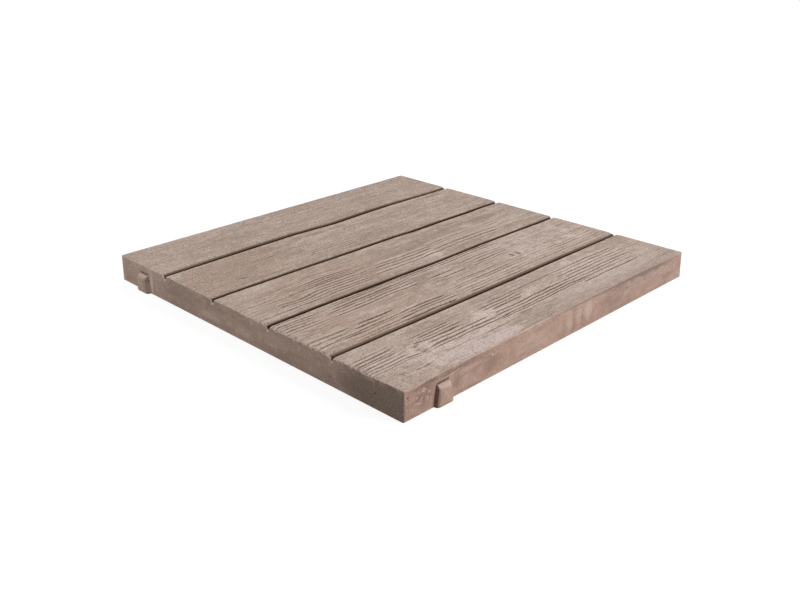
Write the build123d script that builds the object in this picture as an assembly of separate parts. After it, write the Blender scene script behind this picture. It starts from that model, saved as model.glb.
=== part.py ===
from build123d import *
import math
import os

os.makedirs("parts", exist_ok=True)

# A square garden slab cast in one pour of tinted concrete. Its upper face copies five timber boards
# laid side by side. Sizes are in millimetres, the foot of the slab is on z = 0 and the boards run along Y.

# The block
SLAB_SIDE = 500.0  # side of the square foot
SLAB_THICKNESS = 33.0
SIDE_DRAFT = 1.3  # degrees that each side leans in, so that the casting leaves its mould
CORNER_RADIUS = 2.5  # the four upright corners
ARRIS_RADIUS = 1.5  # the edge round the upper face

# The joints between the boards
JOINT_PITCH = 101.0  # the three inner boards are this wide, the outer two take what is left
JOINT_DEPTH = 5.5
JOINT_ROOT_RADIUS = 0.7
LIP_WIDTH = 1.1  # the eased edge of a board where it meets a joint
LIP_DROP = 0.7
JOINT_BEND_RADIUS = 250.0

# The spacer nibs, one at the left end of each side as it is faced
NIB_FROM_CORNER = 54.0
NIB_FOOT_WIDTH = 26.0
NIB_HEAD_WIDTH = 19.0
NIB_BELOW_TOP = 9.5
NIB_REACH = 6.0
NIB_TAPER = 14.0  # degrees that its flanks and head lean in on the way out
NIB_HEAD_RADIUS = 4.0  # between its head and its flanks
NIB_EDGE_RADIUS = 2.5  # round its outer face

# The grain
FURROW_WIDTH = 2.6
DEEP = 1.2
PLAIN = 0.85
FAINT = 0.45

half = SLAB_SIDE / 2
top = SLAB_THICKNESS
top_half = half - SLAB_THICKNESS * math.tan(math.radians(SIDE_DRAFT))
over = 1.0  # how far a cutter passes the face that it opens

# The block: a square foot drawn up to a slightly smaller top, then its edges eased
slab = extrude(Rectangle(SLAB_SIDE, SLAB_SIDE), SLAB_THICKNESS, taper=SIDE_DRAFT)
upright = slab.edges().filter_by(Axis.Z, tolerance=3 * SIDE_DRAFT)
slab = fillet(upright, CORNER_RADIUS)
slab = fillet(slab.faces().sort_by(Axis.Z)[-1].edges(), ARRIS_RADIUS)

# The nibs: a wedge drawn out of the sloping front side, cut level with the foot, then turned to each side
draft = math.radians(SIDE_DRAFT)
nib_height = SLAB_THICKNESS - NIB_BELOW_TOP
nib_plane = Plane(
    origin=(-half + NIB_FROM_CORNER, -half, 0),
    x_dir=(1, 0, 0),
    z_dir=(0, -math.cos(draft), math.sin(draft)),
)
flare = (NIB_FOOT_WIDTH - NIB_HEAD_WIDTH) / 2 / nib_height
sunk = NIB_REACH  # the wedge starts this far below the foot and inside the side
nib_outline = make_face(
    Polyline(
        (-NIB_FOOT_WIDTH / 2 - flare * sunk, -sunk),
        (NIB_FOOT_WIDTH / 2 + flare * sunk, -sunk),
        (NIB_HEAD_WIDTH / 2, nib_height),
        (-NIB_HEAD_WIDTH / 2, nib_height),
        close=True,
    )
)
nib = extrude(nib_plane * nib_outline, NIB_REACH, taper=NIB_TAPER)
outward_edges = nib.edges().filter_by(lambda edge: abs(edge.tangent_at(0.5).Y) > 0.7)
nib = fillet(outward_edges.sort_by(Axis.Z)[-2:], NIB_HEAD_RADIUS)
nib = fillet(nib.faces().sort_by(Axis.Y)[0].edges(), NIB_EDGE_RADIUS)
nib += extrude(nib_plane * nib_outline, -sunk / 2)
nib -= Pos(0, 0, -SLAB_THICKNESS) * Box(4 * SLAB_SIDE, 4 * SLAB_SIDE, 2 * SLAB_THICKNESS)
for turn in range(4):
    slab += Rot(0, 0, 90 * turn) * nib

# The joints: a blunt V with eased lips, carried along each joint's own slightly wandering line.
# A joint is (place in pitches, opening, line), and its line runs from the front of the slab to the back as
# (share of the side, shift to the right).
waney_front = [(0.0, 3.0), (0.1, 0.7), (0.25, -1.8), (0.41, -2.5)]
waney_back = [(0.53, 2.0), (0.69, -1.8), (0.81, -2.0), (1.0, 1.0)]
joints = [
    (-1.5, 9.0, waney_front + waney_back),
    (-0.5, 6.2, [(0.0, 0.3), (0.5, 0.5), (0.64, 2.2), (1.0, 2.0)]),
    (0.5, 5.0, [(0.0, 0.3), (0.5, 0.8), (1.0, 0.4)]),
    (1.5, 7.5, [(0.0, -1.4), (0.2, -0.2), (1.0, 0.5)]),
]
for place, opening, line in joints:
    path_points = [(place * JOINT_PITCH + shift, (share - 0.5) * SLAB_SIDE, top) for share, shift in line]
    first = (path_points[0][0], -half - 4 * over, top)
    last = (path_points[-1][0], half + 4 * over, top)
    path = FilletPolyline(first, *path_points[1:-1], last, radius=JOINT_BEND_RADIUS)
    section_plane = Plane(origin=path @ 0, x_dir=(1, 0, 0), z_dir=path % 0)
    spread = over * LIP_WIDTH / LIP_DROP
    section = make_face(
        Polyline(
            (opening / 2 + spread, -over),
            (opening / 2 - LIP_WIDTH, LIP_DROP),
            (0, JOINT_DEPTH),
            (-opening / 2 + LIP_WIDTH, LIP_DROP),
            (-opening / 2 - spread, -over),
            close=True,
        )
    )
    section = fillet(section.vertices().sort_by(Axis.Y)[-1], JOINT_ROOT_RADIUS)
    slab -= sweep(section_plane * section, path=path)

# The grain: furrows run out shallow at both ends, so each is a V swung round a far centre above the face.
# A bundle is (board, first and last furrow across the board, how many, front and back ends, depth), where the
# places are shares of the board's width and of the slab's side.
bundles = [
    (1, 0.26, 0.46, 2, 0.38, 0.70, FAINT),
    (1, 0.28, 0.51, 3, 0.78, 0.92, FAINT),
    (2, 0.27, 0.39, 3, 0.50, 0.80, FAINT),
    (2, 0.55, 0.74, 3, 0.50, 0.74, FAINT),
    (2, 0.35, 0.45, 2, 0.25, 0.39, FAINT),
    (2, 0.58, 0.78, 4, 0.33, 0.49, FAINT),
    (3, 0.50, 0.76, 4, 0.57, 0.87, PLAIN),
    (3, 0.55, 0.71, 3, 0.37, 0.56, DEEP),
    (3, 0.32, 0.88, 12, 0.15, 0.36, PLAIN),
    (3, 0.42, 0.80, 6, -0.09, 0.12, FAINT),
    (4, 0.08, 0.17, 3, 0.44, 0.74, PLAIN),
    (4, 0.25, 0.39, 4, 0.57, 0.71, PLAIN),
    (4, 0.34, 0.41, 2, 0.44, 0.52, DEEP),
    (4, 0.08, 0.35, 7, 0.13, 0.40, DEEP),
    (4, 0.08, 0.35, 6, -0.09, 0.10, PLAIN),
    (4, 0.69, 0.92, 6, 0.44, 0.95, PLAIN),
    (4, 0.63, 0.91, 6, -0.09, 0.40, DEEP),
    (5, 0.25, 0.66, 8, 0.67, 0.91, PLAIN),
    (5, 0.24, 0.24, 1, 0.48, 0.64, DEEP),
    (5, 0.49, 0.64, 4, 0.38, 0.66, DEEP),
    (5, 0.28, 0.41, 3, 0.39, 0.51, PLAIN),
    (5, 0.34, 0.41, 2, 0.16, 0.28, DEEP),
    (5, 0.49, 0.68, 4, 0.17, 0.36, DEEP),
    (5, 0.25, 0.65, 9, -0.09, 0.12, PLAIN),
]
board_edges = [-half, -1.5 * JOINT_PITCH, -0.5 * JOINT_PITCH, 0.5 * JOINT_PITCH, 1.5 * JOINT_PITCH, half]
stagger = 0.015  # share of the side by which the furrows of a bundle lie out of step

furrows = []
for board, first, last, count, front, back, depth in bundles:
    left = board_edges[board - 1]
    width = board_edges[board] - left
    for index in range(count):
        across = left + width * (first + (last - first) * index / max(count - 1, 1))
        shift = stagger * SLAB_SIDE * (2 * (0.618 * index % 1) - 1)
        middle = (front + back - 1) / 2 * SLAB_SIDE + shift
        reach = (back - front) / 2 * SLAB_SIDE
        swing = (reach**2 + depth**2) / (2 * depth)
        centre = Axis((across, middle, top - depth + swing), (1, 0, 0))
        spread = FURROW_WIDTH / 2 * (1 + over / depth)
        section = make_face(Polyline((-spread, -over), (spread, -over), (0, depth), close=True))
        section = Plane(origin=(across, middle, top), x_dir=(1, 0, 0), z_dir=(0, 1, 0)) * section
        sweep_angle = math.degrees(math.asin(reach / swing)) * 1.2
        furrows.append(revolve(section.rotate(centre, -sweep_angle), centre, 2 * sweep_angle))
slab -= furrows

slab.label = "paving_slab"
export_step(slab, "parts/paving_slab.step")
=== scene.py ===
import math

import bpy
import numpy as np
from mathutils import Matrix, Vector


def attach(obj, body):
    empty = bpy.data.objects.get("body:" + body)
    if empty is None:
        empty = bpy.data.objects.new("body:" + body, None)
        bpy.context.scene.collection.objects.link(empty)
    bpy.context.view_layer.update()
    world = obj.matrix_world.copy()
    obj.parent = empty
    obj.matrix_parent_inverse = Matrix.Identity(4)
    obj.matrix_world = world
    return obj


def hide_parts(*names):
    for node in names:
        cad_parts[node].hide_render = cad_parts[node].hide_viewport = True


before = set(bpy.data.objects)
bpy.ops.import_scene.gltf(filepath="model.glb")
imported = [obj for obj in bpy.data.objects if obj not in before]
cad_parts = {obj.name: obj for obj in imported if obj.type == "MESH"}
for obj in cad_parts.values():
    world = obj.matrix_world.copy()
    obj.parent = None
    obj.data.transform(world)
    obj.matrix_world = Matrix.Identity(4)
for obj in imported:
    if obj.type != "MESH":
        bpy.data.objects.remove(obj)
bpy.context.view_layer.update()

# The upper face of the casting: a drafted square block, 498.5 mm across the top and 33 mm thick.
# The mould parts it into five boards by four joints, and each joint wanders as a real board's edge does.
# Sizes here are in millimetres, with the foot of the slab on z = 0 and the boards along Y.

half = 249.25
thickness = 33.0
draft = math.tan(math.radians(1.3))
corner = 1.4
per_metre = 1000.0

# A joint's line is (along, middle, opening), from the front to the back. Its brow is a (drop, width).
# Its section falls by these shares of its depth. Two of the joints keep a shelf on their left bank.
joint_steps = np.array([-1.0, -0.9, -0.72, -0.4, 0.0, 0.4, 0.72, 0.9, 1.0])
plain_falls = np.array([0.0, 0.36, 0.76, 0.96, 1.0, 0.96, 0.76, 0.36, 0.04])
shelf_falls = np.array([0.0, 0.06, 0.22, 0.74, 1.0, 0.96, 0.76, 0.36, 0.04])
joints = [
    {
        "line": [(-250, -150.4, 7.0), (-205, -152.0, 7.5), (-125, -154.3, 8.7), (-45, -155.3, 8.7),
                 (15, -151.0, 8.8), (90, -154.7, 9.1), (140, -154.7, 8.0), (200, -153.0, 7.2),
                 (250, -152.4, 7.0)],
        "left_ease": 1.6, "depth": 5.2, "brow": (1.0, 1.2), "falls": shelf_falls,
    },
    {
        "line": [(-250, -51.7, 6.0), (-205, -52.5, 5.9), (-120, -52.5, 6.0), (-45, -51.9, 6.3),
                 (40, -52.3, 7.0), (72, -50.1, 7.2), (115, -51.1, 7.4), (180, -50.2, 7.0),
                 (215, -51.4, 6.8), (250, -50.4, 6.6)],
        "left_ease": 1.4, "depth": 5.2, "brow": (0.6, 6.0), "falls": plain_falls,
    },
    {
        "line": [(-250, 48.7, 6.2), (-170, 47.9, 6.2), (-120, 48.3, 6.4), (-40, 48.8, 6.5),
                 (10, 49.6, 6.2), (90, 48.1, 5.8), (180, 48.4, 5.7), (250, 49.1, 5.8)],
        "left_ease": 1.2, "depth": 5.0, "brow": (0.6, 6.0), "falls": plain_falls,
    },
    {
        "line": [(-250, 149.9, 5.2), (-180, 150.4, 5.2), (-100, 150.7, 5.8), (0, 150.7, 6.4),
                 (130, 150.0, 6.2), (250, 151.0, 5.0)],
        "left_ease": 3.6, "depth": 5.2, "brow": (0.7, 8.0), "falls": shelf_falls,
    },
]

# Rows along the boards, packed closer where the face turns over the arris at each end
arris_steps = np.array([0.0, 0.3, 0.8, 1.5, 2.5, 4.0, 6.0])
arris_band = arris_steps[-1]
row_count = 110
inner_rows = np.linspace(-half + arris_band, half - arris_band, row_count)[1:-1]
along = np.concatenate([-half + arris_steps, inner_rows, (half - arris_steps)[::-1]])

# Columns across the boards: fine where the grain is deep, wider on the smoother boards.
# A board's long edges are rounded off a little on their way down into the joints.
# The left bank slopes down to the brink of the joint, and the right bank is crisp.
column_counts = [58, 84, 148, 160, 158]
brink_share = 0.994
clear_of_arris = 6.6
left_brink = 1.4
right_ease = 1.0
left_round = 0.5
left_round_width = 7
lip_width = 12
across_parts = []
fall_parts = []
lip_parts = []
left_edge = np.full(len(along), -half)
for board, column_count in enumerate(column_counts):
    if board < len(joints):
        joint = joints[board]
        stations, middles, openings = np.array(joint["line"]).T
        middle = np.interp(along, stations, middles)
        opening = np.interp(along, stations, openings)
        right_edge = middle - opening / 2 - joint["left_ease"]
    else:
        right_edge = np.full(len(along), half)
    shares = np.insert(np.linspace(0, 1, column_count), -1, brink_share)
    columns = left_edge[:, None] + (right_edge - left_edge)[:, None] * shares
    if board == 0:
        ease = np.broadcast_to(-half + arris_steps, (len(along), len(arris_steps)))
        columns = np.hstack([ease, columns[:, columns[0] > -half + clear_of_arris]])
    if board == len(joints):
        ease = np.broadcast_to((half - arris_steps)[::-1], (len(along), len(arris_steps)))
        columns = np.hstack([columns[:, columns[0] < half - clear_of_arris], ease])
    from_left = columns - left_edge[:, None]
    from_right = right_edge[:, None] - columns
    rounded = np.zeros_like(columns)
    if board > 0:
        rounded += left_round * np.clip(1 - from_left / left_round_width, 0, 1) ** 2
    if board < len(joints):
        brow_drop, brow_width = joint["brow"]
        rounded += brow_drop * np.clip(1 - from_right / brow_width, 0, 1) ** 2
    across_parts.append(columns)
    fall_parts.append(rounded)
    # Along each board's left edge, a band that the concrete paints paler as a painted highlight
    lip_parts.append(np.clip(1 - from_left / lip_width, 0, 1) if board > 0 else np.zeros_like(columns))
    if board < len(joints):
        across_parts.append(middle[:, None] + opening[:, None] / 2 * joint_steps)
        start = np.linspace(left_brink, left_round, len(joint_steps))
        section = start + (joint["depth"] - start) * joint["falls"]
        fall_parts.append(np.broadcast_to(section, (len(along), len(joint_steps))))
        lip_parts.append(np.zeros((len(along), len(joint_steps))))
        left_edge = middle + opening / 2 + right_ease
across = np.hstack(across_parts)
fall = np.hstack(fall_parts)
row_total, column_total = across.shape
deep = np.broadcast_to(along[:, None], across.shape).copy()


def arris_at(x, y):
    """The arris radius: small, nicked in places, and rounder on the right side near the front corner."""
    plain, nicked, rounder = 0.7, 0.6, 3.0
    near = np.clip((x - 236) / 12, 0, 1) * np.clip((-200 - y) / 40, 0, 1) * np.clip((y + 248) / 10, 0, 1)
    nicks = np.clip(np.sin(0.31 * (x + y) + 1.1) * np.sin(0.113 * (x - y) + 0.4) - 0.3, 0, 1)
    return plain + nicked * nicks + rounder * near * near * (3 - 2 * near)


from_x = half - np.abs(across)
from_y = half - np.abs(deep)
corner_x = np.clip((corner - from_x) / corner, 0, 1)
corner_y = np.clip((corner - from_y) / corner, 0, 1)
in_corner = (corner_x > 0) & (corner_y > 0)
ring = np.maximum(corner_x, corner_y)
tiny = 1e-9
turn_from_x = corner_y / np.maximum(corner_x, tiny)
turn_from_y = 2 - corner_x / np.maximum(corner_y, tiny)
turn = np.where(corner_x >= corner_y, turn_from_x, turn_from_y) * math.pi / 4
round_x = np.sign(across) * (half - corner + corner * ring * np.cos(turn))
round_y = np.sign(deep) * (half - corner + corner * ring * np.sin(turn))
inset = np.where(in_corner, corner * (1 - ring), np.minimum(from_x, from_y))
radius = arris_at(across, deep)
drop = np.where(inset < radius, radius - np.sqrt(np.maximum(radius**2 - (radius - inset) ** 2, 0)), 0)
face_x = np.where(in_corner, round_x, across)
face_y = np.where(in_corner, round_y, deep)
face_z = thickness - fall - drop
wear_start, wear_end = 0.3, 1.4
rim_wear = np.clip(inset / wear_start, 0, 1) * np.clip(1 - inset / wear_end, 0, 1)
walked_on = np.clip(inset / radius * 1.4 - 0.3, 0, 1)

points = [np.stack([face_x, face_y, face_z], -1).reshape(-1, 3)]
faces = []
cell = np.arange(row_total * column_total).reshape(row_total, column_total)
quads = np.stack([cell[:-1, :-1], cell[:-1, 1:], cell[1:, 1:], cell[1:, :-1]], -1).reshape(-1, 4)
faces.extend(quads.tolist())

# The sides of the casting and the four spacer nibs on them, which hold the next slab about 6 mm off.
# The sides lean in by the mould's draft. Each nib is a wedge with rounded edges, at the left end of its side.
# Small air holes are left where bubbles lay against the mould.

# The nib's foot and head are half widths. Over its head the side is set back a little.
nib_middle = -196.0
nib_foot = 12.1
nib_head = 8.7
nib_height = 22.5
nib_reach = 5.95
nib_foot_reach = 0.84
nib_foot_slope = 0.08
nib_band = 14
recess = 0.7
recess_top = 24
nib_insets = np.array([-6.0, -2.0, -0.5, -0.15, 0.1, 0.4, 0.9, 1.6, 2.6, 4.4, 6.5])
nib_depths = [-0.15, 0.1, 0.4, 0.9, 1.6, 2.6, 4.4]
nib_rises = [0, 0.3, 0.55, 0.72, 0.85, 0.95, 1.0]
head_drops = [0, 0.2, 0.75, 1.7, 2.7, 3.8, 5.0]
head_rises = [0, 0.2, 0.42, 0.66, 0.84, 0.95, 1.0]
# Holes on the front, right, back and left sides: (along the side, level, radius)
air_holes = {
    0: [(212, 16, 1.3), (207, 10, 1.1), (167, 24, 1.2), (148, 9, 1.3), (-62, 20, 1.0), (40, 13, 1.1)],
    1: [(-244, 23, 1.5), (-121, 25, 1.9), (124, 22, 1.2), (162, 21, 1.4), (182, 16, 1.2), (191, 19, 1.1),
        (204, 15, 1.2), (160, 10, 1.0)],
    2: [(-90, 19, 1.6), (30, 12, 1.2), (118, 21, 1.4), (-170, 8, 1.1)],
    3: [(-140, 14, 1.5), (-20, 21, 1.3), (84, 10, 1.2), (150, 18, 1.6)],
}
levels = np.array([
    0, 0.7, 2, 3.5, 5, 6.5, 8, 9.5, 11, 12.5, 14, 15.5, 17, 18.2, 19.2, 20.0, 20.7, 21.3, 21.8, 22.2,
    22.45, 22.65, 23.2,
])
upper_shares = np.array([0.25, 0.5, 0.75, 1.0])
facing = [Vector((0, -1)), Vector((1, 0)), Vector((0, 1)), Vector((-1, 0))]

side_steps = 70
nib_clear = 22
nib_steps = (-3.6, 0, 3.6)
hole_clear = 2.4
hole_steps = (-1.8, -1.1, -0.7, -0.35, 0, 0.35, 0.7, 1.1, 1.8)
notch_clear = 2
notch_steps = (-1.5, -1.0, -0.72, -0.4, 0, 0.4, 0.72, 1.0, 1.5)
corner_angles = (0.4, 0.8, 1.2)


def joint_end(joint, side):
    """Where a joint runs out on the front or back: its middle along that side and half its opening."""
    end = joint["line"][0 if side == 0 else -1]
    return end[1] if side == 0 else -end[1], end[2] / 2


# A column is (side, place along it, inset from a nib's flank, hand of the flank or 2 + angle on a corner)
wall_columns = []
for side in range(4):
    stops = list(np.arange(-half + corner, half - corner + 0.1, (2 * half - 2 * corner) / side_steps))
    stops = [stop for stop in stops if abs(stop - nib_middle) >= nib_clear]
    for hole, _, size in air_holes[side]:
        stops = [stop for stop in stops if abs(stop - hole) > hole_clear * size]
        stops += [hole + size * step for step in hole_steps]
    if side in (0, 2):
        for joint in joints:
            middle, width = joint_end(joint, side)
            stops = [stop for stop in stops if abs(stop - middle) > width + notch_clear]
            stops += [middle + width * step for step in notch_steps]
    wall_columns += [(side, stop, None, 0) for stop in stops]
    for hand in (-1, 1):
        wall_columns += [(side, nib_middle + hand * (nib_foot - inset), inset, hand) for inset in nib_insets]
    wall_columns += [(side, nib_middle + step, None, 0) for step in nib_steps]
    for angle in corner_angles:
        wall_columns.append((side, half - corner + corner * math.sin(angle), None, 2 + angle))
wall_columns.sort(key=lambda column: (column[0], column[1]))

# Each column starts on a ring inside the foot's edge, goes out to that edge, over the nib and up the side
foot_ring = 2.5
below_arris = 2.8
lowest_crest = 24.6
hole_depth = 0.9
highlight_level, highlight_rise, highlight_reach = 18.4, 1.4, 0.7
corner_pace, corner_turn = 0.002, 1.6
flank_shade, head_shade = 1.0, 0.8
wall_points = []
wall_places = []
nib_head_highlight = []
wall_shade = []
for side, stop, inset, hand in wall_columns:
    outward = facing[side]
    forward = Vector((-outward.y, outward.x))
    edge = forward * stop + outward * half
    if hand >= 2:
        angle = hand - 2
        reach_along = half - corner + corner * math.sin(angle)
        reach_out = half - corner + corner * math.cos(angle)
        edge = forward * reach_along + outward * reach_out
        outward = (outward * math.cos(angle) + forward * math.sin(angle)).normalized()
    wall_points.append((edge.x - foot_ring * outward.x, edge.y - foot_ring * outward.y, 0))
    nib_head_highlight.append(0)
    wall_shade.append(0)
    notch = 0
    if side in (0, 2):
        for joint in joints:
            middle, width = joint_end(joint, side)
            share = (stop - middle) / width
            notch = max(notch, joint["depth"] * np.interp(share, joint_steps, joint["falls"], 0, 0))
    crest = max(thickness - notch - arris_at(edge.x, edge.y) - below_arris, lowest_crest)
    heights = np.concatenate([levels, levels[-1] + (crest - levels[-1]) * upper_shares])
    for height in heights:
        place = edge
        out = 0.0
        width_here = nib_foot + (nib_head - nib_foot) * min(height / nib_height, 1)
        shift = stop
        if inset is not None:
            shift = nib_middle + hand * (width_here - inset)
            place = forward * shift + outward * half
        from_nib = abs(shift - nib_middle)
        if from_nib < nib_band and height < nib_height:
            out = nib_reach * np.interp(width_here - from_nib, nib_depths, nib_rises)
            head_share = np.interp(nib_height - height, head_drops, head_rises)
            out *= head_share * min(nib_foot_reach + nib_foot_slope * height, 1)
        elif from_nib < nib_head and height < recess_top:
            out = -recess
        for hole, level, size in air_holes[side]:
            gap = math.hypot(shift - hole, height - level) / size
            if gap < 1:
                out -= hole_depth * size * math.sqrt(1 - gap * gap)
        wall_points.append((place.x + outward.x * out, place.y + outward.y * out, height))
        # Near the top of each nib's head the concrete is painted paler: a painted highlight
        nib_head_highlight.append(min(max((height - highlight_level) / highlight_rise, 0), 1) if out > highlight_reach else 0)
        # The left flank of each nib and the recess over its head get painted shade
        on_flank = hand == -1 and height < nib_height and -0.2 < inset < 0.5
        over_head = from_nib < width_here and 22.4 < height < 23.3
        wall_shade.append(flank_shade if on_flank else head_shade if over_head else 0.0)
    if hand < 2:
        wall_places.append(side + (stop + half) / (2 * half))
    else:
        wall_places.append(side + 1 - corner_pace * (corner_turn - angle))
level_total = 1 + len(levels) + len(upper_shares)
first_wall = row_total * column_total
points.append(np.array(wall_points))
wall = first_wall + np.arange(len(wall_points)).reshape(len(wall_columns), level_total)
after = np.roll(wall, -1, axis=0)
quads = np.stack([wall[:, :-1], after[:, :-1], after[:, 1:], wall[:, 1:]], -1).reshape(-1, 4)
faces.extend(quads.tolist())


def stitch(lower, lower_places, upper, upper_places):
    """Triangles between two closed loops of points that run the same way round."""
    low, high = 0, 0
    made = []
    lower_places = list(lower_places) + [lower_places[0] + 4]
    upper_places = list(upper_places) + [upper_places[0] + 4]
    while low < len(lower) or high < len(upper):
        here, over = lower[low % len(lower)], upper[high % len(upper)]
        if high == len(upper) or (low < len(lower) and lower_places[low + 1] <= upper_places[high + 1]):
            made.append((here, lower[(low + 1) % len(lower)], over))
            low += 1
        else:
            made.append((here, upper[(high + 1) % len(upper)], over))
            high += 1
    return made


rim = np.concatenate([cell[0, :-1], cell[:-1, -1], cell[-1, :0:-1], cell[:0:-1, 0]])
rim_places = np.concatenate([
    (across[0, :-1] + half) / (2 * half),
    1 + (along[:-1] + half) / (2 * half),
    2 + (half - across[-1, :0:-1]) / (2 * half),
    3 + (half - along[:0:-1]) / (2 * half),
])
faces.extend(stitch(wall[:, -1].tolist(), wall_places, rim.tolist(), rim_places))

# The foot: the open side of the mould, struck off level with a board, so it is flat with faint drag marks.
foot_half = half - 6
foot_count = 40
strike_depth = 0.25
strike_margin = 20
foot_line = np.linspace(-foot_half, foot_half, foot_count)
foot_x, foot_y = np.meshgrid(foot_line, foot_line)
strike = np.clip(np.sin(foot_x * 0.09 + 1.3 * np.sin(foot_y * 0.02)) * np.sin(foot_y * 0.035 + 0.6), 0, 1)
inside = np.clip((foot_half - np.maximum(np.abs(foot_x), np.abs(foot_y))) / strike_margin, 0, 1)
first_foot = first_wall + len(wall_points)
points.append(np.stack([foot_x, foot_y, strike_depth * strike * inside], -1).reshape(-1, 3))
foot = first_foot + np.arange(foot_count * foot_count).reshape(foot_count, foot_count)
quads = np.stack([foot[:-1, :-1], foot[1:, :-1], foot[1:, 1:], foot[:-1, 1:]], -1).reshape(-1, 4)
faces.extend(quads.tolist())
foot_rim = np.concatenate([foot[0, :-1], foot[:-1, -1], foot[-1, :0:-1], foot[:0:-1, 0]])
foot_share = (foot_line[:-1] + half) / (2 * half)
foot_places = np.concatenate([foot_share, 1 + foot_share, 2 + foot_share, 3 + foot_share])
faces.extend(stitch(foot_rim.tolist(), foot_places, wall[:, 0].tolist(), wall_places))

points = np.concatenate(points)
lean = 1 + draft * (thickness - points[:, 2:3]) / half
points[:, :2] *= lean
casting_mesh = bpy.data.meshes.new("cast_slab")
casting_mesh.from_pydata((points / per_metre).tolist(), [], faces)
casting_mesh.update()
worn = np.append(rim_wear.reshape(-1), nib_head_highlight)
shaded = np.append(np.zeros(first_wall), wall_shade)
marks = {
    "upper_face": np.ones(first_wall),
    "walked_on": walked_on.reshape(-1),
    "joint_depth": fall.reshape(-1),
    "lip": np.hstack(lip_parts).reshape(-1),
    "worn": worn,
    "shaded": shaded,
}
for name, values in marks.items():
    mark = casting_mesh.attributes.new(name, "FLOAT", "POINT")
    mark.data.foreach_set("value", np.pad(values, (0, len(points) - len(values))))
casting = bpy.data.objects.new("cast_slab", casting_mesh)
bpy.context.scene.collection.objects.link(casting)

# The grain: the mould was taken from weathered boards, so the concrete carries their furrows in bundles,
# bent round a few knots, with rough torn patches between. This tree cuts them into the upper face as a
# height, and notes where the tint lies thin or thick for the concrete's colour and where the ridges
# beside the furrows get a painted highlight.


def wire(tree, kind, values=(), **settings):
    """A new node with its settings made and its inputs filled, by order or name, with numbers or links."""
    made = tree.nodes.new(kind)
    for name, value in settings.items():
        setattr(made, name, value)
    for slot, value in values.items() if isinstance(values, dict) else enumerate(values):
        if isinstance(value, bpy.types.NodeSocket):
            tree.links.new(value, made.inputs[slot])
        elif value is not None:
            made.inputs[slot].default_value = value
    return made


def sums(tree, operation, *values):
    return wire(tree, "ShaderNodeMath", values, operation=operation).outputs[0]


def times(tree, one, other):
    return wire(tree, "ShaderNodeMath", (one, other), operation="MULTIPLY").outputs[0]


def fade(tree, value, start, end, low=0.0, high=1.0):
    """Goes smoothly from low to high as the value passes from start to end."""
    settings = (value, start, end, low, high)
    return wire(tree, "ShaderNodeMapRange", settings, interpolation_type="SMOOTHSTEP").outputs[0]


def grit(tree, x, y, z, detail=2.0, roughness=0.5):
    """Smooth noise, from 0 to 1, at a place given in grains."""
    place = wire(tree, "ShaderNodeCombineXYZ", (x, y, z)).outputs[0]
    settings = {"Vector": place, "Scale": 1.0, "Detail": detail, "Roughness": roughness}
    return wire(tree, "ShaderNodeTexNoise", settings, noise_dimensions="3D").outputs[0]


def oval(tree, across, along, x, y, half_width, half_length):
    """A soft oval spot, 1 in its middle and 0 from its edge on."""
    over = sums(tree, "MULTIPLY_ADD", across, 1 / half_width, -x / half_width)
    beside = sums(tree, "MULTIPLY_ADD", along, 1 / half_length, -y / half_length)
    return fade(tree, sums(tree, "MULTIPLY_ADD", over, over, times(tree, beside, beside)), 1.0, 0.0)


# One bundle of near-parallel furrows. Each has its own depth, width and ends.
bundle = bpy.data.node_groups.new("furrow_bundle", "GeometryNodeTree")
for title in ("Across", "Along", "First", "Last", "Count", "Front", "Back", "Depth", "Width", "Seed"):
    bundle.interface.new_socket(title, in_out="INPUT", socket_type="NodeSocketFloat")
for title in ("Cut", "Ridge_highlight"):
    bundle.interface.new_socket(title, in_out="OUTPUT", socket_type="NodeSocketFloat")
given = bundle.nodes.new("NodeGroupInput").outputs
last_step = sums(bundle, "SUBTRACT", given["Count"], 1.0)
span = sums(bundle, "SUBTRACT", given["Last"], given["First"])
pitch = sums(bundle, "DIVIDE", span, sums(bundle, "MAXIMUM", last_step, 1.0))
from_first = sums(bundle, "SUBTRACT", given["Across"], given["First"])
step = sums(bundle, "ROUND", sums(bundle, "DIVIDE", from_first, pitch))
step = sums(bundle, "MAXIMUM", sums(bundle, "MINIMUM", step, last_step), 0.0)
key = wire(bundle, "ShaderNodeCombineXYZ", (step, given["Seed"], 0.0)).outputs[0]
chance = wire(bundle, "ShaderNodeTexWhiteNoise", {"Vector": key}, noise_dimensions="3D").outputs["Color"]
chance = wire(bundle, "ShaderNodeSeparateXYZ", (chance,)).outputs
aside = times(bundle, sums(bundle, "SUBTRACT", chance[0], 0.5), 0.35)
middle = sums(bundle, "MULTIPLY_ADD", sums(bundle, "ADD", step, aside), pitch, given["First"])
gap = sums(bundle, "ABSOLUTE", sums(bundle, "SUBTRACT", given["Across"], middle))
reach = times(bundle, given["Width"], sums(bundle, "MULTIPLY_ADD", chance[1], 0.25, 0.4))
hollow = fade(bundle, gap, reach, 0.0)
end_spread = 24.0
end_before, end_after = 5.0, 8.0
foremost = sums(bundle, "SUBTRACT", given["Front"], end_spread / 2)
hindmost = sums(bundle, "ADD", given["Back"], end_spread / 2)
front = sums(bundle, "MULTIPLY_ADD", chance[2], end_spread, foremost)
back = sums(bundle, "MULTIPLY_ADD", chance[1], -end_spread, hindmost)
front_run = (sums(bundle, "SUBTRACT", front, end_before), sums(bundle, "ADD", front, end_after))
back_run = (sums(bundle, "ADD", back, end_before), sums(bundle, "SUBTRACT", back, end_after))
starts = fade(bundle, given["Along"], *front_run)
ends = fade(bundle, given["Along"], *back_run)
swell = grit(bundle, times(bundle, given["Along"], 0.04), times(bundle, step, 3.7), given["Seed"])
swell = fade(bundle, swell, 0.3, 0.6, 0.55, 1.15)
length = times(bundle, times(bundle, starts, ends), given["Depth"])
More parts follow.
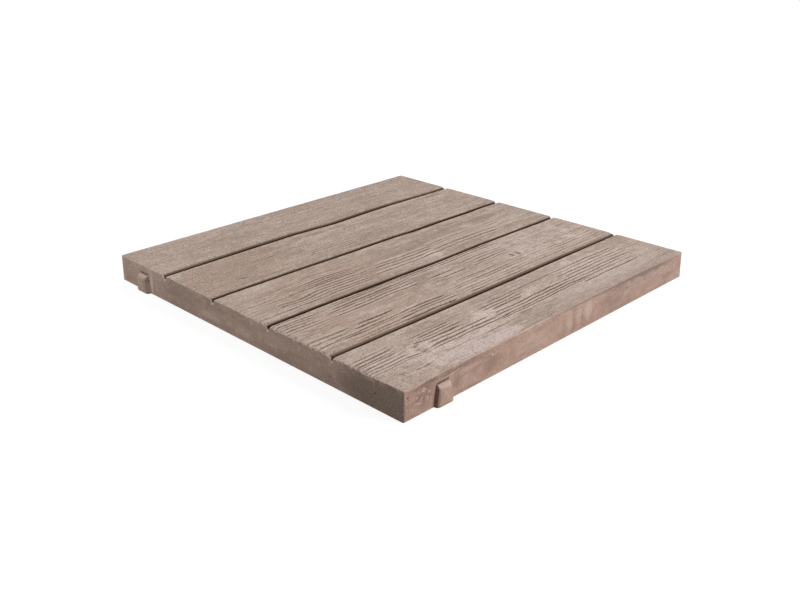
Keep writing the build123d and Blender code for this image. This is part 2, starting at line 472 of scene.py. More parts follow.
uneven = times(bundle, swell, sums(bundle, "MULTIPLY_ADD", chance[0], 0.5, 0.7))
# Beside each furrow lies a band that the concrete paints paler, a painted highlight on its ridge
beside = fade(bundle, gap, times(bundle, pitch, 0.9), times(bundle, pitch, 0.5))
ridge_highlight = times(bundle, beside, sums(bundle, "SUBTRACT", 1.0, hollow))
wire(bundle, "NodeGroupOutput", (
    times(bundle, times(bundle, hollow, length), uneven),
    times(bundle, ridge_highlight, length),
))

# (first furrow, last furrow, how many, front end, back end, depth, width)
furrow_bundles = [
    (-226, -205, 3, -60, 100, 0.45, 2.6),
    (-222, -200, 5, 150, 205, 0.50, 2.6),
    (-236, -176, 9, -250, -110, 0.24, 2.6),
    (-190, -166, 4, 40, 190, 0.30, 2.6),
    (-126, -112, 4, 0, 142, 0.70, 2.6),
    (-98, -74, 5, 10, 120, 0.62, 2.6),
    (-116, -106, 3, -123, -64, 0.65, 2.6),
    (-95, -72, 5, -80, 5, 0.80, 2.6),
    (-130, -70, 11, -250, -130, 0.26, 2.6),
    (-134, -62, 14, 150, 265, 0.26, 2.6),
    (0, 25, 4, 48, 172, 1.15, 2.8),
    (5, 27, 4, -62, 44, 1.50, 3.0),
    (-10, 4, 4, -165, -72, 1.50, 3.1),
    (-10, 34, 7, -280, -200, 0.55, 2.6),
    (-38, -14, 5, -70, 90, 0.40, 2.6),
    (-8, 38, 8, 185, 270, 0.40, 2.6),
    (55, 63, 2, -54, 116, 1.40, 3.2),
    (74, 91, 4, 36, 104, 1.20, 2.8),
    (82, 90, 2, -34, 12, 1.60, 3.4),
    (55.5, 82, 6, -176, -60, 1.60, 3.4),
    (55.5, 82, 6, -280, -200, 1.10, 3.0),
    (92, 108, 4, -180, -70, 0.12, 2.6),
    (118, 142, 5, 60, 270, 0.65, 2.8),
    (118, 142, 5, -34, 70, 1.15, 2.8),
    (112, 128, 3, -280, -194, 0.95, 3.0),
    (125, 142, 4, -128, -56, 1.55, 3.3),
    (58, 112, 12, 120, 270, 0.38, 2.6),
    (94, 114, 5, 0, 90, 0.45, 2.6),
    (174, 217, 8, 84, 204, 1.05, 3.0),
    (175, 179, 1, -8, 72, 1.35, 3.4),
    (198.5, 213.5, 4, -60, 90, 1.40, 3.2),
    (175, 190, 4, -54, 8, 1.25, 3.0),
    (177, 191, 4, -167, -104, 1.45, 3.2),
    (199, 204, 1, -168, -72, 1.50, 3.8),
    (205, 210, 2, -165, -56, 1.45, 3.2),
    (174, 209, 8, -280, -188, 1.00, 2.8),
    (160, 236, 14, 195, 270, 0.34, 2.6),
    (160, 172, 3, -160, 60, 0.34, 2.6),
    (10, 14, 1, -155, -70, 1.55, 3.4),
    (17, 35, 4, -212, -84, 1.55, 3.3),
    (125, 142, 4, -215, -125, 0.85, 3.0),
    (113, 117, 1, -183, -116, 1.45, 3.6),
    (120, 124, 1, -182, -153, 1.60, 3.4),
    (109, 113, 1, -8, 62, 0.95, 3.2),
    (215, 222, 2, -150, -70, 0.55, 2.6),
]
# Knots that the grain bends round: (across, along, half width, half length, bend)
knots = [
    (195, -179, 26, 26, 9.0),
    (8, -180, 26, 26, 8.0),
    (102, 97, 14, 22, 5.0),
    (-211, 176, 22, 36, 8.0),
    (31, 31, 14, 26, 6.0),
    (-15, 126, 14, 26, 5.0),
    (102, -40, 20, 30, 6.0),
]
# Torn patches and dents: (across, along, half width, half length, depth)
torn_patches = [
    (195, -179, 24, 13, 0.6),
    (8, -181, 26, 13, 0.6),
    (70, -190, 18, 13, 0.5),
    (225, -215, 18, 40, 0.5),
    (-15, 60, 30, 110, 0.3),
    (-205, 170, 28, 40, 0.4),
    (200, -64, 26, 14, 0.5),
    (190, 76, 22, 10, 0.5),
]
dents = [(101.5, 104, 7, 2.2, 0.7), (101.5, 93, 6, 2.2, 0.6), (-77, -187, 2.0, 5, 0.9)]
dent_slant = -0.5
# Where the tint lies: (across, along, half width, half length, pale or dark, pink or olive)
tints = [
    (-217, 160, 20, 36, 0.3, 0.0), (-214, -70, 6, 90, 0.4, 0.0), (-229, 110, 7, 60, -0.5, 0.0),
    (-199, -155, 26, 26, -0.4, 0.0), (-172, -208, 20, 20, 0.3, 0.0), (-226, -20, 6, 90, -0.4, 0.3),
    (-182, 100, 20, 60, 0.4, 0.0), (-120, 150, 22, 34, -0.35, -0.5), (-106, 70, 5, 90, 0.5, 0.0),
    (-96, 30, 4, 90, -0.5, -0.3), (-104, -10, 5, 60, 0.4, 0.0), (-80, -25, 24, 75, -1.2, 0.0),
    (-80, -120, 22, 48, 1.3, -0.2), (-100, -165, 64, 120, -1.2, 1.0), (-100, 60, 50, 80, -0.3, 0.0),
    (-12, 130, 30, 100, -0.4, -0.3), (-14, 137, 13, 16, 1.15, 0.0), (27, 29, 17, 20, 1.6, 0.1),
    (3, -120, 64, 130, -0.7, 1.0), (-10, 20, 34, 90, -0.6, 0.0), (-180, -200, 28, 45, -0.5, 0.0),
    (-125, -125, 24, 55, -0.5, 0.0), (25, -150, 26, 110, -0.45, 0.0), (76, -40, 22, 44, -0.85, 0.2),
    (175, -122, 24, 60, -0.8, 0.0), (174, -205, 22, 40, -0.5, 0.0), (177, 120, 20, 50, 0.35, 0.0),
    (124, 205, 22, 50, 0.4, 0.0), (-125, -40, 22, 45, 0.5, 0.0), (22, 85, 24, 100, -0.8, 0.1),
    (84, 178, 60, 140, 0.75, -0.5), (99, -44, 32, 24, 0.4, -0.6), (62, 60, 9, 80, -0.3, -0.5),
    (120, 60, 34, 110, 0.45, -0.2), (100, -150, 64, 130, 0.1, 0.7), (65, -187, 18, 12, 0.5, 0.0),
    (200, 120, 66, 180, 0.65, 0.0), (193, -66, 13, 32, 0.7, 0.1), (114, 101, 4, 5, 1.1, 0.0),
    (108, 88, 4, 4, 0.8, 0.0), (236, -140, 22, 60, 0.4, 0.2), (239, -100, 11, 46, 0.8, 0.1),
    (200, -140, 66, 190, 0.85, 0.3), (232, -20, 18, 60, -0.6, -0.3), (232, -180, 11, 11, 0.7, 0.0),
    (134, -172, 18, 62, -0.7, 1.0), (98, -130, 12, 60, 0.35, -0.4), (69, -125, 18, 58, -1.1, 0.5),
    (117, -155, 9, 28, -0.35, 0.2), (22, -222, 16, 24, -0.45, 0.2), (-22, 75, 15, 48, -0.75, 0.0),
    (-18, 178, 15, 32, -0.6, 0.0), (24, -106, 15, 30, -0.5, 1.0), (-28, -125, 13, 50, 0.35, 0.0),
    (134, -92, 16, 44, -0.9, 0.5), (-80, 45, 22, 70, -0.45, 0.2), (20, -38, 18, 42, -0.4, 0.3),
    (-3, -115, 10, 46, -0.5, 0.6), (70, -222, 16, 26, -0.7, 0.3),
]

grain = bpy.data.node_groups.new("board_grain", "GeometryNodeTree")
grain.interface.new_socket("Geometry", in_out="INPUT", socket_type="NodeSocketGeometry")
grain_depth = grain.interface.new_socket("Grain depth", in_out="INPUT", socket_type="NodeSocketFloat")
grain_waves = grain.interface.new_socket("Board waves", in_out="INPUT", socket_type="NodeSocketFloat")
grain_sides = grain.interface.new_socket("Side texture", in_out="INPUT", socket_type="NodeSocketFloat")
grain_concrete = grain.interface.new_socket("Concrete", in_out="INPUT", socket_type="NodeSocketMaterial")
grain.interface.new_socket("Geometry", in_out="OUTPUT", socket_type="NodeSocketGeometry")
asked = grain.nodes.new("NodeGroupInput").outputs
position = grain.nodes.new("GeometryNodeInputPosition").outputs[0]
here = wire(grain, "ShaderNodeSeparateXYZ", (position,)).outputs
across_mm = times(grain, here[0], per_metre)
along_mm = times(grain, here[1], per_metre)
upper_mask = wire(grain, "GeometryNodeInputNamedAttribute", ("upper_face",), data_type="FLOAT").outputs[0]
joint_mm = wire(grain, "GeometryNodeInputNamedAttribute", ("joint_depth",), data_type="FLOAT").outputs[0]


def drift(x_grain, y_grain, start, reach):
    """A smooth wander of the given reach either way, in millimetres."""
    x = sums(grain, "MULTIPLY_ADD", across_mm, 1 / x_grain, start)
    noise = grit(grain, x, times(grain, along_mm, 1 / y_grain), start)
    return times(grain, sums(grain, "SUBTRACT", noise, 0.5), 4 * reach)


bent = sums(grain, "ADD", across_mm, sums(grain, "ADD", drift(140, 120, 3.3, 2.4), drift(16, 30, 8.1, 0.7)))
for x, y, half_width, half_length, bend in knots:
    pull = times(grain, oval(grain, across_mm, along_mm, x, y, half_width, half_length), bend / half_width)
    bent = sums(grain, "SUBTRACT", bent, times(grain, pull, sums(grain, "SUBTRACT", across_mm, x)))
cut, ridge_highlights = 0.0, 0.0
for seed, values in enumerate(furrow_bundles):
    inputs = (bent, along_mm, *values, seed + 1.0)
    furrows = wire(grain, "GeometryNodeGroup", inputs, node_tree=bundle).outputs
    cut = sums(grain, "MAXIMUM", cut, furrows["Cut"])
    ridge_highlights = sums(grain, "MAXIMUM", ridge_highlights, furrows["Ridge_highlight"])
tear = grit(grain, times(grain, across_mm, 0.16), times(grain, along_mm, 0.1), 5.0)
tear = fade(grain, tear, 0.46, 0.66)
torn = 0.0
for x, y, half_width, half_length, depth in torn_patches:
    patch = times(grain, oval(grain, across_mm, along_mm, x, y, half_width, half_length), depth)
    torn = sums(grain, "MAXIMUM", torn, patch)
cut = sums(grain, "MAXIMUM", cut, times(grain, tear, torn))
for x, y, half_width, half_length, depth in dents:
    slant = sums(grain, "MULTIPLY_ADD", sums(grain, "SUBTRACT", along_mm, y), dent_slant, across_mm)
    dent = times(grain, oval(grain, slant, along_mm, x, y, half_width, half_length), depth)
    cut = sums(grain, "MAXIMUM", cut, dent)
combed = grit(grain, times(grain, bent, 0.4), times(grain, along_mm, 0.014), 7.0)
combed = times(grain, fade(grain, combed, 0.46, 0.7), fade(grain, across_mm, -70.0, 70.0, 0.12, 0.34))
deepest_cut, deepest_tooth = 1.7, 2.5
cut = sums(grain, "MINIMUM", sums(grain, "ADD", cut, combed), deepest_cut)
on_board = times(grain, upper_mask, fade(grain, joint_mm, 0.9, 2.4, 1.0, 0.0))
cut = times(grain, cut, times(grain, on_board, asked["Grain depth"]))
from_middle = sums(grain, "ABSOLUTE", along_mm)
teeth = times(grain, cut, fade(grain, along_mm, -240.0, -248.0, 1.0, 2.2))
teeth = times(grain, teeth, fade(grain, along_mm, 236.0, 247.0, 1.0, 0.3))
chips = fade(grain, grit(grain, times(grain, across_mm, 0.2), 0.0, 11.0, 1.0), 0.42, 0.6, 0.0, 1.9)
chip_limits = [
    fade(grain, along_mm, -245.5, -249.0),
    fade(grain, across_mm, -20.0, 60.0, 0.2, 1.0),
    fade(grain, across_mm, 205.0, 228.0, 1.0, 0.0),
    on_board,
]
for limit in chip_limits:
    chips = times(grain, chips, limit)
teeth = sums(grain, "MINIMUM", sums(grain, "ADD", teeth, chips), deepest_tooth)
cut = times(grain, cut, fade(grain, from_middle, 240.0, 248.0, 1.0, 0.35))
waves = grit(grain, times(grain, across_mm, 0.03), times(grain, along_mm, 0.012), 3.0)
sink = times(grain, times(grain, waves, asked["Board waves"]), upper_mask)
sink = times(grain, sums(grain, "ADD", teeth, sink), -1 / per_metre)

# The tint: broad stains have ragged edges, and small ones keep closer to their ovals
pale, pink = 0.0, 0.0
broad = 18
stray_x = sums(grain, "ADD", across_mm, drift(20, 26, 21.0, 9.0))
stray_y = sums(grain, "ADD", along_mm, drift(20, 26, 37.0, 14.0))
near_x = sums(grain, "ADD", across_mm, drift(9, 12, 41.0, 2.2))
near_y = sums(grain, "ADD", along_mm, drift(9, 12, 47.0, 3.5))
for x, y, half_width, half_length, paler, pinker in tints:
    stain_x, stain_y = (stray_x, stray_y) if half_width > broad else (near_x, near_y)
    stain = oval(grain, stain_x, stain_y, x, y, half_width, half_length)
    pale = sums(grain, "MULTIPLY_ADD", stain, paler, pale)
    pink = sums(grain, "MULTIPLY_ADD", stain, pinker, pink)
carved = asked["Geometry"]
notes = {"grain_line": bent, "furrow": cut, "ridge_highlight": ridge_highlights, "torn": torn, "pale": pale, "pink": pink}
for name, value in notes.items():
    noted = {"Geometry": carved, "Name": name, "Value": value}
    carved = wire(grain, "GeometryNodeStoreNamedAttribute", noted, data_type="FLOAT").outputs[0]
offset = wire(grain, "ShaderNodeCombineXYZ", (0.0, 0.0, sink)).outputs[0]
carved = wire(grain, "GeometryNodeSetPosition", {"Geometry": carved, "Offset": offset}).outputs[0]

# The sides keep the mould's skin: shallow hollows, but none at the foot, which stands on the bed
hollow_scales = (90.0, 90.0, 150.0)
hollow_place = [times(grain, here[axis], scale) for axis, scale in enumerate(hollow_scales)]
hollows = times(grain, grit(grain, *hollow_place, 3.0), asked["Side texture"])
hollows = times(grain, hollows, fade(grain, here[2], 0.0, 0.002))
on_sides = sums(grain, "SUBTRACT", 1.0, upper_mask)
hollows = times(grain, on_sides, times(grain, hollows, -1 / per_metre))
outward = grain.nodes.new("GeometryNodeInputNormal").outputs[0]
press = wire(grain, "ShaderNodeVectorMath", {0: outward, "Scale": hollows}, operation="SCALE").outputs[0]
carved = wire(grain, "GeometryNodeSetPosition", {"Geometry": carved, "Offset": press}).outputs[0]
carved = wire(grain, "GeometryNodeRealizeInstances", (carved,)).outputs[0]
dressed = {"Geometry": carved, "Material": asked["Concrete"]}
carved = wire(grain, "GeometryNodeSetMaterial", dressed).outputs[0]
grain.links.new(carved, grain.nodes.new("NodeGroupOutput").inputs[0])

# The concrete: taupe brown, paler and greyer on the walked face, pinker on the sides where the mould held it.
# Brown tint has gathered in the joints and, with painted shade, darkens the furrows; cement bloom has
# left pale patches and drips.
concrete = bpy.data.materials.new("tinted_concrete")
concrete.use_nodes = True
paint = concrete.node_tree
shader = paint.nodes["Principled BSDF"]
shader.inputs["Specular IOR Level"].default_value = 0.25
spread = wire(paint, "ShaderNodeTexCoord").outputs["Object"]
spread = wire(paint, "ShaderNodeSeparateXYZ", (spread,)).outputs
x_mm, y_mm, z_mm = [times(paint, spread[axis], per_metre) for axis in range(3)]


def attribute(name):
    return wire(paint, "ShaderNodeAttribute", attribute_name=name).outputs["Fac"]


def tone(x_grain, y_grain, z_grain, start, detail=3.0, roughness=0.55, line=None):
    """Noise with grains of these sizes in millimetres, along the board's own grain if a line is given."""
    x = sums(paint, "MULTIPLY_ADD", line or x_mm, 1 / x_grain, start)
    y = times(paint, y_mm, 1 / y_grain)
    return grit(paint, x, y, times(paint, z_mm, 1 / z_grain), detail, roughness)


def blend(share, under, upper):
    return wire(paint, "ShaderNodeMix", {0: share, 6: under, 7: upper}, data_type="RGBA").outputs[2]


def layered(colour, layers):
    """Lays each (share, colour) over what is there."""
    for share, upper in layers:
        colour = blend(share, colour, upper)
    return colour


grain_line = attribute("grain_line")
clouds = tone(60, 100, 60, 11)
bands = tone(13, 190, 30, 5, line=grain_line)
strips = tone(6, 80, 30, 17, 2.0, line=grain_line)
streaks = tone(2.2, 70, 30, 23, line=grain_line)
threads = tone(1.5, 24, 30, 29, 2.0, line=grain_line)
mottle = tone(8, 13, 8, 31, 4.0, 0.6)
speckle = tone(2.2, 2.6, 2.2, 47, 2.0, 0.6)
sand = tone(1.3, 1.3, 1.3, 53, 1.0)

# The walked face
broken = fade(paint, mottle, 0.3, 0.6, 0.5, 1.0)
pale = times(paint, attribute("pale"), broken)
pink = times(paint, attribute("pink"), broken)
inner_boards = times(paint, fade(paint, x_mm, -152.0, -144.0), fade(paint, x_mm, 50.0, 44.0))
strips = times(paint, sums(paint, "SUBTRACT", strips, 0.5), inner_boards)
rough = fade(paint, tone(30, 80, 40, 67, 2.0), 0.42, 0.6, 0.4, 1.0)
streaks = times(paint, fade(paint, streaks, 0.47, 0.66, 0.0, 0.95), rough)
pale_threads = times(paint, fade(paint, threads, 0.5, 0.68, 0.0, 0.7), rough)
dark_threads = times(paint, fade(paint, threads, 0.46, 0.3, 0.0, 0.7), rough)
mauve = oval(paint, x_mm, y_mm, 226, 125, 28, 130)
mauve = sums(paint, "MAXIMUM", mauve, oval(paint, x_mm, y_mm, 234, -130, 20, 70))
left_boards = fade(paint, x_mm, -46.0, -51.0, 1.0, 1.4)
flecks = tone(1.7, 7, 30, 61, 1.0, line=grain_line)
flecks = times(paint, fade(paint, flecks, 0.64, 0.76, 0.0, 0.65), left_boards)
lip_highlights = times(paint, attribute("lip"), fade(paint, mottle, 0.35, 0.65))
ridge_highlights = fade(paint, attribute("ridge_highlight"), 0.0, 1.0, 0.0, 0.5)
torn = attribute("torn")
curls = sums(paint, "SUBTRACT", tone(9, 8, 9, 83, 2.0), 0.5)
curl_crests = times(paint, fade(paint, sums(paint, "ABSOLUTE", curls), 0.045, 0.0), torn)
beside_crests = sums(paint, "ABSOLUTE", sums(paint, "SUBTRACT", curls, 0.08))
curl_hollows = times(paint, fade(paint, beside_crests, 0.04, 0.0), torn)
walked = blend(fade(paint, clouds, 0.36, 0.64), (0.355, 0.262, 0.212, 1), (0.445, 0.342, 0.288, 1))
walked = layered(walked, [
    (fade(paint, pale, 0.0, 1.0, 0.0, 0.9), (0.63, 0.505, 0.458, 1)),  # thin tint
    (fade(paint, pale, 0.0, -1.0, 0.0, 0.9), (0.24, 0.172, 0.128, 1)),  # thick tint
    (fade(paint, pink, 0.0, 1.0, 0.0, 0.8), (0.45, 0.3, 0.232, 1)),  # pink stains
    (fade(paint, pink, 0.0, -1.0, 0.0, 0.75), (0.4, 0.335, 0.272, 1)),  # olive stains
    (fade(paint, bands, 0.45, 0.68, 0.0, 0.6), (0.3, 0.218, 0.17, 1)),  # broad dark bands
    (fade(paint, strips, 0.03, 0.18, 0.0, 0.85), (0.27, 0.19, 0.145, 1)),  # dark strips
    (fade(paint, strips, -0.03, -0.18, 0.0, 0.8), (0.55, 0.435, 0.375, 1)),  # pale strips
    (streaks, (0.25, 0.176, 0.134, 1)),
    (pale_threads, (0.58, 0.465, 0.405, 1)),
    (dark_threads, (0.24, 0.17, 0.13, 1)),
    (fade(paint, mottle, 0.5, 0.7, 0.0, 0.5), (0.55, 0.44, 0.382, 1)),  # pale mottle
    (fade(paint, pale, 0.5, 1.0, 0.0, 0.8), (0.62, 0.5, 0.452, 1)),  # the thinnest tint, over the grain
    (fade(paint, pale, -0.1, -1.1, 0.0, 0.45), (0.26, 0.186, 0.14, 1)),  # the thickest tint, over the grain
    (fade(paint, pink, 0.5, 1.5, 0.0, 0.55), (0.345, 0.222, 0.166, 1)),  # the pinkest, over the grain
    (times(paint, mauve, 0.3), (0.46, 0.378, 0.365, 1)),
    (flecks, (0.17, 0.115, 0.085, 1)),
    # Painted highlight along each board's left edge
    (times(paint, lip_highlights, 0.55), (0.56, 0.455, 0.395, 1)),
    # Painted highlight on the ridges beside the furrows
    (ridge_highlights, (0.57, 0.462, 0.402, 1)),
    (times(paint, curl_crests, 0.8), (0.62, 0.52, 0.46, 1)),
    (times(paint, curl_hollows, 0.5), (0.15, 0.1, 0.07, 1)),
])
for x, y, half_width, half_length, depth in dents:
    slant = sums(paint, "MULTIPLY_ADD", sums(paint, "SUBTRACT", y_mm, y), dent_slant, x_mm)
    walked = blend(oval(paint, slant, y_mm, x, y, half_width, half_length), walked, (0.1, 0.06, 0.04, 1))

# The sides, with marks at (along, level, half width, half height, pale or dark)
# On the right, the dark bands at levels 27.5 to 31 (at -222, -182, -170 and 165) are painted shade along the
# top, and the thin dark line at -243 is painted shade down the front corner.
right_marks = [
    (10, 16, 10, 21, 0.5), (27, 18, 9, 18, 0.45), (46, 20, 11, 17, 0.65), (17, 16, 1.3, 18, -0.6),
    (34, 14, 1.3, 15, -0.5), (165, 31, 90, 7, -0.7), (-126, 16, 16, 14, -0.4), (-176, 17, 8, 13, -0.4),
    (-224, 20, 13, 9, -0.4), (-170, 30.5, 75, 5, -0.5), (92, 16, 36, 30, -0.35), (-243, 16, 1.0, 24, -0.5),
    (-60, 14, 40, 14, 0.3), (-121, 25, 2.4, 2.6, 1.6), (-196, 12, 8, 9, 0.4), (-182, 27.5, 24, 3.5, -0.25),
    (-222, 29, 24, 5, -0.6), (-212, 22, 10, 9, -0.35), (-160, 12, 14, 14, 0.3),
]
# On the front, the pale marks at -180 and -184 are painted light on the left nib's right flank. The dark
# marks from 190 to 240 darken the right-hand end, partly its own greyer colour and partly painted shade, and
# the thin one at 248.5 is painted shade down the corner.
front_marks = [
    (-180, 16, 3.0, 20, 0.7), (-184, 11, 3.6, 15, 0.8), (-120, 8, 40, 8, 0.2), (-118, 16, 46, 40, -0.5),
    (-70, 22, 22, 7, -0.4), (215, 14, 60, 22, -0.6), (190, 16, 80, 40, -0.45), (60, 18, 40, 10, 0.25),
    (-60, 9, 30, 8, 0.4), (-45, 25, 20, 8, -0.4), (12, 23, 24, 8, -0.35), (4, 9, 24, 8, 0.35),
    (150, 20, 14, 12, 0.3), (-236, 16, 14, 30, -0.3), (248.5, 16, 1.6, 30, -0.9), (240, 16, 22, 40, -0.5),
]
stray = times(paint, sums(paint, "SUBTRACT", mottle, 0.5), 20.0)
level = sums(paint, "ADD", z_mm, stray)
right_side = fade(paint, x_mm, 247.0, 249.0)
front_side = fade(paint, y_mm, -247.0, -249.0)
# Near the front corner of the right side the skin is torn: its folds and the seam's fold line get painted
# highlights, and painted shadows lie beside the folds.
torn_skin = tone(5, 5, 3.6, 71, 1.0)
torn_area = times(paint, oval(paint, y_mm, z_mm, -224, 17, 17, 12), right_side)
fold_highlights = times(paint, fade(paint, torn_skin, 0.54, 0.64), torn_area)
fold_shadows = times(paint, fade(paint, torn_skin, 0.46, 0.36), torn_area)
seam = sums(paint, "MULTIPLY_ADD", y_mm, -0.11, sums(paint, "SUBTRACT", z_mm, 46.2))
seam = fade(paint, sums(paint, "ABSOLUTE", seam), 1.2, 0.3)
seam = times(paint, seam, oval(paint, y_mm, z_mm, -181, 27, 15, 9))
fold_highlights = times(paint, sums(paint, "MAXIMUM", fold_highlights, seam), right_side)
smears = tone(34, 34, 6, 59)
greyer = times(paint, right_side, fade(paint, y_mm, 40.0, 180.0, 0.0, 0.8))
slanted_level = sums(paint, "MULTIPLY_ADD", y_mm, -0.183, level)
greyer = times(paint, greyer, fade(paint, slanted_level, -20.0, -7.0, 0.3, 1.0))
cast = blend(fade(paint, clouds, 0.36, 0.64), (0.43, 0.27, 0.208, 1), (0.515, 0.34, 0.27, 1))
cast = layered(cast, [
    # The front side darker and greyer: partly its own colour, partly painted shade
    (times(paint, front_side, 0.7), (0.355, 0.264, 0.212, 1)),
    (greyer, (0.45, 0.335, 0.29, 1)),
    (fade(paint, smears, 0.46, 0.68, 0.0, 0.6), (0.32, 0.212, 0.168, 1)),
    (fade(paint, mottle, 0.5, 0.7, 0.0, 0.5), (0.57, 0.42, 0.352, 1)),  # pale mottle
])
side_marks = [
    (right_marks, y_mm, right_side, (0.23, 0.143, 0.117, 1)),
    (front_marks, x_mm, front_side, (0.2, 0.144, 0.111, 1)),
]
thin_mark = 2
for marks, place, this_side, dark in side_marks:
    shade = 0.0
    for along_side, height, half_width, half_height, strength in marks:
        mark_level = z_mm if half_width < thin_mark else level
        mark = oval(paint, place, mark_level, along_side, height, half_width, half_height)
        shade = sums(paint, "MULTIPLY_ADD", times(paint, mark, strength), this_side, shade)
    cast = blend(fade(paint, shade, 0.0, 1.0), cast, (0.6, 0.465, 0.405, 1))
    cast = blend(fade(paint, shade, 0.0, -1.0), cast, dark)
cast = layered(cast, [
    # Painted highlights on the torn skin's folds and seam, and painted shadows beside them
    (times(paint, fold_highlights, 0.5), (0.72, 0.59, 0.525, 1)),
    (times(paint, fold_shadows, 0.6), (0.2, 0.128, 0.105, 1)),
])

# Both together, then what lies over both: wear and painted highlights, painted shade, sand and the joints
walked_share = attribute("walked_on")
rubbed_edge_and_highlight = times(paint, attribute("worn"), fade(paint, speckle, 0.3, 0.6, 0.3, 0.75))
# A dark line just under the right side's arris: painted shade
crease_shade = times(paint, oval(paint, y_mm, z_mm, 95, 31.8, 170, 1.6), right_side)
dark_sand = times(paint, fade(paint, speckle, 0.48, 0.68), fade(paint, walked_share, 0.0, 1.0, 0.28, 0.65))
pale_sand = times(paint, fade(paint, sand, 0.52, 0.72), fade(paint, walked_share, 0.0, 1.0, 0.25, 0.45))
well = attribute("joint_depth")
between_ends = fade(paint, sums(paint, "ABSOLUTE", y_mm), 248.5, 247.0)
colour = layered(blend(walked_share, cast, walked), [
    # Paler on the rubbed arris of the upper face, which is wear, and on the nib heads, a painted highlight
    (rubbed_edge_and_highlight, (0.63, 0.5, 0.435, 1)),
    # Painted shade under the right-hand arris
    (times(paint, crease_shade, 0.75), (0.2, 0.13, 0.108, 1)),
    # Darker down the furrows: partly brown tint, partly painted shade
    (fade(paint, attribute("furrow"), 0.15, 0.95, 0.0, 0.92), (0.115, 0.06, 0.036, 1)),
    # painted shade on the nibs' left flanks and over their heads
    (times(paint, attribute("shaded"), 0.8), (0.1, 0.062, 0.046, 1)),
    (times(paint, dark_sand, left_boards), (0.22, 0.155, 0.118, 1)),
    (times(paint, pale_sand, left_boards), (0.66, 0.555, 0.49, 1)),
    (fade(paint, well, 1.3, 2.6), (0.53, 0.425, 0.365, 1)),  # painted light in the joints' open ends
    (times(paint, fade(paint, well, 0.6, 1.3), between_ends), (0.15, 0.096, 0.067, 1)),  # their banks
    (times(paint, fade(paint, well, 1.3, 2.6), between_ends), (0.026, 0.01, 0.004, 1)),  # their roots
])
paint.links.new(colour, shader.inputs["Base Color"])
paint.links.new(fade(paint, mottle, 0.3, 0.7, 0.96, 0.82), shader.inputs["Roughness"])
rubbed = sums(paint, "MULTIPLY_ADD", sand, 0.5, sums(paint, "MULTIPLY_ADD", speckle, 0.7, mottle))
rubbed = sums(paint, "MULTIPLY_ADD", sums(paint, "ADD", fold_highlights, curl_crests), 1.2, rubbed)
bump = wire(paint, "ShaderNodeBump", {"Strength": 0.4, "Distance": 0.0008, "Height": rubbed})
paint.links.new(bump.outputs[0], shader.inputs["Normal"])

carver = casting.modifiers.new("board_grain", "NODES")
carver.node_group = grain
carver[grain_depth.identifier] = 1.15
carver[grain_waves.identifier] = 0.45
carver[grain_sides.identifier] = 0.25
carver[grain_concrete.identifier] = concrete
bpy.context.view_layer.update()
finished = bpy.data.meshes.new_from_object(casting.evaluated_get(bpy.context.evaluated_depsgraph_get()))
casting.modifiers.remove(carver)
casting.data = finished
for polygon in finished.polygons:
    polygon.use_smooth = True
sharp_angle = math.radians(50)
finished.set_sharp_from_angle(angle=sharp_angle)
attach(casting, "root")
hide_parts("paving_slab")

# A pale studio floor that the slab lies on, and the soft light round it.
# The camera sees the floor near white, but it throws light back on the slab as a plain grey one would.
floor_mesh = bpy.data.meshes.new("studio_floor")
floor_reach = 9
floor_corners = [(x * floor_reach, y * floor_reach, 0) for x, y in ((-1, -1), (1, -1), (1, 1), (-1, 1))]
floor_mesh.from_pydata(floor_corners, [], [(0, 1, 2, 3)])
floor = bpy.data.objects.new("studio_floor", floor_mesh)
bpy.context.scene.collection.objects.link(floor)
floor_paint = bpy.data.materials.new("studio_white")
floor_paint.use_nodes = True
white = floor_paint.node_tree
white.nodes.clear()
matt = wire(white, "ShaderNodeBsdfDiffuse", {"Color": (0.5, 0.5, 0.5, 1)}).outputs[0]
seen_matt = wire(white, "ShaderNodeBsdfDiffuse", {"Color": (0.25, 0.25, 0.25, 1)}).outputs[0]
glow = wire(white, "ShaderNodeEmission", {"Color": (1, 1, 1, 1), "Strength": 0.82}).outputs[0]
seen = wire(white, "ShaderNodeAddShader", (seen_matt, glow)).outputs[0]
rays = wire(white, "ShaderNodeLightPath").outputs
mirrored = sums(white, "MAXIMUM", rays["Is Glossy Ray"], rays["Is Transmission Ray"])
direct = sums(white, "MAXIMUM", rays["Is Camera Ray"], mirrored)
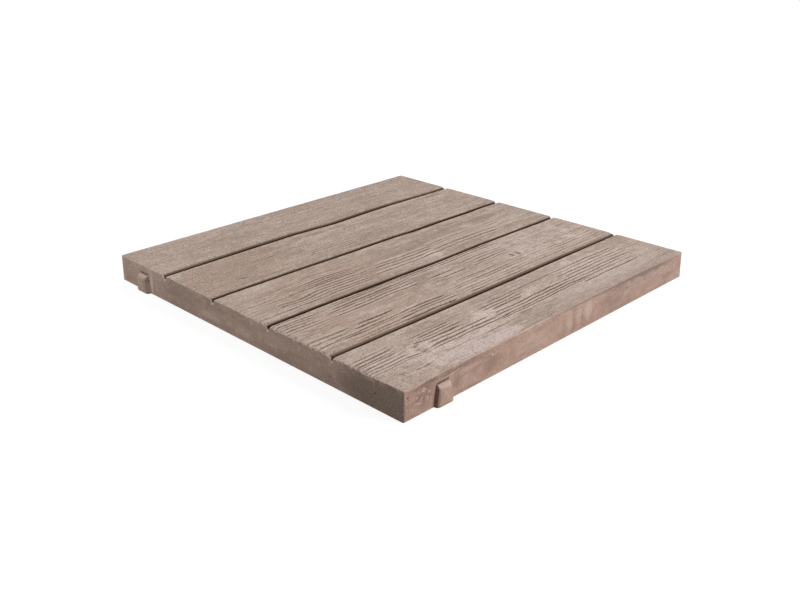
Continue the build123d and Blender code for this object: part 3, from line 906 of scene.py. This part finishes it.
pick = wire(white, "ShaderNodeMixShader", (direct, matt, seen)).outputs[0]
wire(white, "ShaderNodeOutputMaterial", (pick,))
floor_mesh.materials.append(floor_paint)

world = bpy.data.worlds.new("studio")
bpy.context.scene.world = world
world.use_nodes = True
sky = world.node_tree.nodes["Background"].inputs
sky["Color"].default_value = (1, 1, 1, 1)
sky["Strength"].default_value = 0.3


def softbox(name, place, aim, width, power):
    """A square area lamp that looks at a point."""
    lamp = bpy.data.lights.new(name, "AREA")
    lamp.size = width
    lamp.energy = power
    stand = bpy.data.objects.new(name, lamp)
    bpy.context.scene.collection.objects.link(stand)
    stand.location = place
    stand.rotation_euler = (Vector(aim) - Vector(place)).to_track_quat("-Z", "Y").to_euler()


softbox("back_left_softbox", (-2.7, 2.7, 3.1), (0, 0, 0), 1.6, 82)
softbox("overhead_softbox", (0.1, -0.35, 3.2), (0, 0, 0), 1.8, 27)
softbox("right_softbox", (2.4, 1.26, 1.3), (0, 0, 0), 1.0, 53)
softbox("left_fill", (-0.75, -1.0, 0.35), (-0.2, -0.25, 0.02), 0.3, 3.6)

# The camera stands off the front corner, where the photograph was taken from.
# Its place, lens and angles were fitted to the slab's corners.
azimuth = math.radians(45.0)
height_angle = math.radians(23.72)
roll = math.radians(-0.31)
backward = Vector((
    math.sin(azimuth) * math.cos(height_angle),
    -math.cos(azimuth) * math.cos(height_angle),
    math.sin(height_angle),
))
rightward = Vector((math.cos(azimuth), math.sin(azimuth), 0))
upward = backward.cross(rightward)
turned_right = rightward * math.cos(roll) + upward * math.sin(roll)
turned_up = upward * math.cos(roll) - rightward * math.sin(roll)
lens = bpy.data.cameras.new("photo_camera")
lens.sensor_width = 36
lens.lens = 41.7
camera = bpy.data.objects.new("photo_camera", lens)
bpy.context.scene.collection.objects.link(camera)
stance = Matrix((turned_right, turned_up, backward)).transposed().to_4x4()
stance.translation = Vector((0.7687, -0.7722, 0.4477))
camera.matrix_world = stance
bpy.context.scene.camera = camera
bpy.context.scene.view_settings.view_transform = "Standard"
